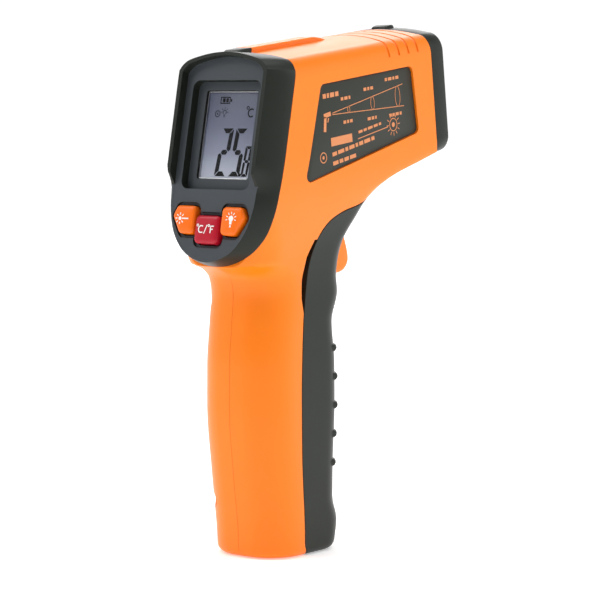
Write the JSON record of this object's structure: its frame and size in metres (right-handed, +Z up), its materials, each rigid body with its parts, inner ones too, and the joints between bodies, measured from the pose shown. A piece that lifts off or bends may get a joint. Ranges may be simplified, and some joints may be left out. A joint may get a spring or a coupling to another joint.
{
  "type": "infrared thermometer",
  "caption": "Pistol-shaped infrared thermometer with a hooded display, keys under it, a trigger in the grip's throat and a hinged battery door.",
  "frame": {"origin": "middle of the object's box in X and Y, on the plane that the grip stands on", "axes": "+Z up the grip, +Y towards the muzzle, +X to the right-hand side as it is held"},
  "size_m": [0.0416, 0.0952, 0.1591],
  "materials": {
    "orange_shell": "satin moulded ABS",
    "orange_key": "satin moulded ABS",
    "red_key": "satin moulded ABS",
    "dark_plastic": "fine satin texture",
    "label_film": "printed satin film",
    "clear_window": "clear polished acrylic",
    "lcd_glass": "liquid crystal panel",
    "white_plastic": "diffuse",
    "soft_rubber": "soft moulded strip",
    "circuit_board": "solder mask",
    "black_plastic": "satin",
    "black_lens": "polished infrared lens",
    "turned_metal": "turned",
    "steel": "zinc plated",
    "brass": "turned",
    "cell_jacket": "plain wrapped can"
  },
  "bodies": {
    "body": {"right_shell": "orange_shell", "left_shell": "orange_shell", "display_housing": "dark_plastic", "muzzle_ring": "dark_plastic", "front_face": "dark_plastic", "display_window": "clear_window", "laser_window": "clear_window", "lcd_panel": "lcd_glass", "backlight": "white_plastic", "lcd_connector": "soft_rubber", "main_board": "circuit_board", "sensor_board": "circuit_board", "sensor_ribbon": "white_plastic", "buzzer": "black_plastic", "switch_laser": "black_plastic", "switch_unit": "black_plastic", "switch_backlight": "black_plastic", "trigger_switch": "black_plastic", "battery_holder": "black_plastic", "ir_lens": "black_lens", "lens_barrel": "turned_metal", "thermopile_sensor": "steel", "laser_module": "brass", "trigger_pin": "steel", "trigger_spring": "steel", "door_pin": "steel", "contact_spring_left": "steel", "contact_spring_right": "steel", "cell_left": "cell_jacket", "cell_right": "cell_jacket", "shell_screw_1": "steel", "shell_screw_2": "steel", "shell_screw_3": "steel", "shell_screw_4": "steel", "label_left": "label_film", "label_right": "label_film"},
    "door": {"battery_door": "dark_plastic"},
    "trigger": {"trigger": "orange_key"},
    "laser_key": {"button_laser": "orange_key"},
    "unit_key": {"button_unit": "red_key"},
    "backlight_key": {"button_backlight": "orange_key"}
  },
  "joints": [
    {"name": "door_hinge", "type": "hinge", "parent": "body", "child": "door", "pos_m": [0, -0.014, 0.0042], "axis": [-1, 0, 0], "range_deg": [0, 60]},
    {"name": "trigger_pull", "type": "hinge", "parent": "body", "child": "trigger", "pos_m": [0, -0.002, 0.113], "axis": [-1, 0, 0], "range_deg": [0, 12], "stiffness_Nm_per_rad": 0.12, "springref_deg": -5.73},
    {"name": "laser_key_press", "type": "slide", "parent": "body", "child": "laser_key", "axis": [0, 0.9803, -0.1977], "range_m": [0, 0.0008], "stiffness_N_per_m": 700, "springref_m": -0.0004},
    {"name": "unit_key_press", "type": "slide", "parent": "body", "child": "unit_key", "axis": [0, 0.9803, -0.1977], "range_m": [0, 0.0008], "stiffness_N_per_m": 700, "springref_m": -0.0004},
    {"name": "backlight_key_press", "type": "slide", "parent": "body", "child": "backlight_key", "axis": [0, 0.9803, -0.1977], "range_m": [0, 0.0008], "stiffness_N_per_m": 700, "springref_m": -0.0004}
  ]
}
